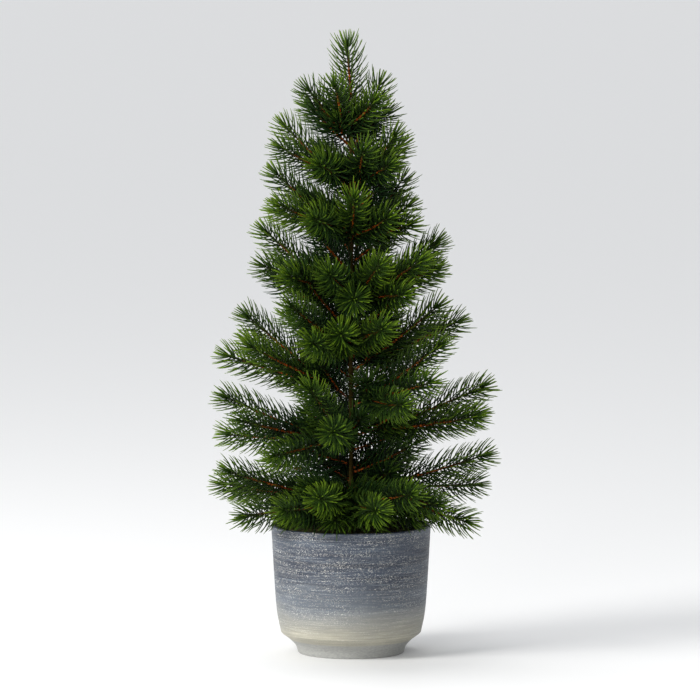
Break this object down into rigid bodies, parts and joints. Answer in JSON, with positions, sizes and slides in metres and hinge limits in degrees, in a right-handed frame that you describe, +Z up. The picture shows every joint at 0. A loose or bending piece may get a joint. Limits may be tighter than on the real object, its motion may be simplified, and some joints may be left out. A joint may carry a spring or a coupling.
{
  "type": "artificial tabletop tree",
  "caption": "Artificial tabletop fir with bendable moulded needle branches on a taped trunk, standing in a lift-out pot inside a round blue-grey glazed planter.",
  "frame": {"origin": "centre of the planter's flat underside", "axes": "+Z up along the trunk, +X to the right and -Y towards the front of the tree"},
  "size_m": [0.2747, 0.2739, 0.6069],
  "materials": {
    "glaze": "satin",
    "pot": "matte",
    "plaster": "matte",
    "foam": "matte",
    "moss": "matte",
    "rod": "satin",
    "tape": "matte",
    "wire": "matte",
    "needles": "satin"
  },
  "bodies": {
    "planter": {"planter": "glaze"},
    "tree": {"grower_pot": "pot", "ballast": "plaster", "foam_fill": "foam", "moss_top": "moss", "trunk_rod": "rod", "trunk_tape": "tape", "leader_needles": "needles"},
    "crown_left": {"crown_left_wire": "wire", "crown_left_needles": "needles"},
    "crown_right": {"crown_right_wire": "wire", "crown_right_needles": "needles"},
    "tier1_left": {"tier1_left_wire": "wire", "tier1_left_needles": "needles"},
    "tier1_right": {"tier1_right_wire": "wire", "tier1_right_needles": "needles"},
    "tier1_back": {"tier1_back_wire": "wire", "tier1_back_needles": "needles"},
    "tier2_left": {"tier2_left_wire": "wire", "tier2_left_needles": "needles"},
    "tier2_right": {"tier2_right_wire": "wire", "tier2_right_needles": "needles"},
    "tier2_front": {"tier2_front_wire": "wire", "tier2_front_needles": "needles"},
    "tier2_back": {"tier2_back_wire": "wire", "tier2_back_needles": "needles"},
    "tier3_left": {"tier3_left_wire": "wire", "tier3_left_needles": "needles"},
    "tier3_right": {"tier3_right_wire": "wire", "tier3_right_needles": "needles"},
    "tier3_front": {"tier3_front_wire": "wire", "tier3_front_needles": "needles"},
    "tier3_back": {"tier3_back_wire": "wire", "tier3_back_needles": "needles"},
    "tier4_front": {"tier4_front_wire": "wire", "tier4_front_needles": "needles"},
    "tier4_right": {"tier4_right_wire": "wire", "tier4_right_needles": "needles"},
    "tier4_left": {"tier4_left_wire": "wire", "tier4_left_needles": "needles"},
    "tier4_back": {"tier4_back_wire": "wire", "tier4_back_needles": "needles"},
    "tier5_front_right": {"tier5_front_right_wire": "wire", "tier5_front_right_needles": "needles"},
    "tier5_right": {"tier5_right_wire": "wire", "tier5_right_needles": "needles"},
    "tier5_left": {"tier5_left_wire": "wire", "tier5_left_needles": "needles"},
    "tier5_front_left": {"tier5_front_left_wire": "wire", "tier5_front_left_needles": "needles"},
    "tier5_back": {"tier5_back_wire": "wire", "tier5_back_needles": "needles"},
    "tier6_left": {"tier6_left_wire": "wire", "tier6_left_needles": "needles"},
    "tier6_front": {"tier6_front_wire": "wire", "tier6_front_needles": "needles"},
    "tier6_right": {"tier6_right_wire": "wire", "tier6_right_needles": "needles"},
    "tier6_back": {"tier6_back_wire": "wire", "tier6_back_needles": "needles"}
  },
  "joints": [
    {"name": "insert_lift", "type": "slide", "parent": "planter", "child": "tree", "axis": [0, 0, 1], "range_m": [0, 0.13]},
    {"name": "crown_left_bend", "type": "hinge", "parent": "tree", "child": "crown_left", "pos_m": [-0.00401, -0.00154, 0.505], "axis": [-0.3584, 0.9336, 0], "range_deg": [-15, 8]},
    {"name": "crown_right_bend", "type": "hinge", "parent": "tree", "child": "crown_right", "pos_m": [0.00404, 0.00147, 0.499], "axis": [0.342, -0.9397, 0], "range_deg": [-15, 8]},
    {"name": "tier1_left_bend", "type": "hinge", "parent": "tree", "child": "tier1_left", "pos_m": [-0.00421, 0.00089, 0.459], "axis": [0.2079, 0.9781, 0], "range_deg": [-15, 12]},
    {"name": "tier1_right_bend", "type": "hinge", "parent": "tree", "child": "tier1_right", "pos_m": [0.00404, -0.00147, 0.456], "axis": [-0.342, -0.9397, 0], "range_deg": [-15, 12]},
    {"name": "tier1_back_bend", "type": "hinge", "parent": "tree", "child": "tier1_back", "pos_m": [0.00067, 0.00425, 0.447], "axis": [0.9877, -0.1564, 0], "range_deg": [-15, 12]},
    {"name": "tier2_left_bend", "type": "hinge", "parent": "tree", "child": "tier2_left", "pos_m": [-0.00429, 0.0003, 0.409], "axis": [0.0698, 0.9976, 0], "range_deg": [-15, 12]},
    {"name": "tier2_right_bend", "type": "hinge", "parent": "tree", "child": "tier2_right", "pos_m": [0.00401, 0.00154, 0.397], "axis": [0.3584, -0.9336, 0], "range_deg": [-15, 12]},
    {"name": "tier2_front_bend", "type": "hinge", "parent": "tree", "child": "tier2_front", "pos_m": [0.00023, -0.00429, 0.403], "axis": [-0.9986, -0.0523, 0], "range_deg": [-15, 12]},
    {"name": "tier2_back_bend", "type": "hinge", "parent": "tree", "child": "tier2_back", "pos_m": [0.00015, 0.0043, 0.402], "axis": [0.9994, -0.0349, 0], "range_deg": [-15, 12]},
    {"name": "tier3_left_bend", "type": "hinge", "parent": "tree", "child": "tier3_left", "pos_m": [-0.00429, 0.00023, 0.346], "axis": [0.0523, 0.9986, 0], "range_deg": [-15, 12]},
    {"name": "tier3_right_bend", "type": "hinge", "parent": "tree", "child": "tier3_right", "pos_m": [0.00428, 0.00037, 0.341], "axis": [0.0872, -0.9962, 0], "range_deg": [-15, 12]},
    {"name": "tier3_front_bend", "type": "hinge", "parent": "tree", "child": "tier3_front", "pos_m": [0.00147, -0.00404, 0.347], "axis": [-0.9397, -0.342, 0], "range_deg": [-15, 12]},
    {"name": "tier3_back_bend", "type": "hinge", "parent": "tree", "child": "tier3_back", "pos_m": [-0.00111, 0.00415, 0.345], "axis": [0.9659, 0.2588, 0], "range_deg": [-15, 12]},
    {"name": "tier4_front_bend", "type": "hinge", "parent": "tree", "child": "tier4_front", "pos_m": [-0.00259, -0.00343, 0.299], "axis": [-0.7986, 0.6018, 0], "range_deg": [-15, 8]},
    {"name": "tier4_right_bend", "type": "hinge", "parent": "tree", "child": "tier4_right", "pos_m": [0.00404, -0.00147, 0.279], "axis": [-0.342, -0.9397, 0], "range_deg": [-15, 12]},
    {"name": "tier4_left_bend", "type": "hinge", "parent": "tree", "child": "tier4_left", "pos_m": [-0.00428, 0.00045, 0.252], "axis": [0.1045, 0.9945, 0], "range_deg": [-15, 12]},
    {"name": "tier4_back_bend", "type": "hinge", "parent": "tree", "child": "tier4_back", "pos_m": [-0.00015, 0.0043, 0.277], "axis": [0.9994, 0.0349, 0], "range_deg": [-15, 12]},
    {"name": "tier5_front_right_bend", "type": "hinge", "parent": "tree", "child": "tier5_front_right", "pos_m": [0.00343, -0.00259, 0.243], "axis": [-0.6018, -0.7986, 0], "range_deg": [-15, 12]},
    {"name": "tier5_right_bend", "type": "hinge", "parent": "tree", "child": "tier5_right", "pos_m": [0.0043, 0, 0.214], "axis": [0, -1, 0], "range_deg": [-15, 12]},
    {"name": "tier5_left_bend", "type": "hinge", "parent": "tree", "child": "tier5_left", "pos_m": [-0.00425, -0.00067, 0.206], "axis": [-0.1564, 0.9877, 0], "range_deg": [-15, 12]},
    {"name": "tier5_front_left_bend", "type": "hinge", "parent": "tree", "child": "tier5_front_left", "pos_m": [-0.00154, -0.00401, 0.207], "axis": [-0.9336, 0.3584, 0], "range_deg": [-15, 12]},
    {"name": "tier5_back_bend", "type": "hinge", "parent": "tree", "child": "tier5_back", "pos_m": [0, 0.0043, 0.22], "axis": [1, 0, 0], "range_deg": [-15, 12]},
    {"name": "tier6_left_bend", "type": "hinge", "parent": "tree", "child": "tier6_left", "pos_m": [-0.00428, -0.00037, 0.153], "axis": [-0.0872, 0.9962, 0], "range_deg": [-10, 15]},
    {"name": "tier6_front_bend", "type": "hinge", "parent": "tree", "child": "tier6_front", "pos_m": [-0.00104, -0.00417, 0.151], "axis": [-0.9703, 0.2419, 0], "range_deg": [-10, 15]},
    {"name": "tier6_right_bend", "type": "hinge", "parent": "tree", "child": "tier6_right", "pos_m": [0.00428, -0.00045, 0.161], "axis": [-0.1045, -0.9945, 0], "range_deg": [-10, 15]},
    {"name": "tier6_back_bend", "type": "hinge", "parent": "tree", "child": "tier6_back", "pos_m": [-0.00075, 0.00423, 0.167], "axis": [0.9848, 0.1736, 0], "range_deg": [-10, 15]}
  ]
}
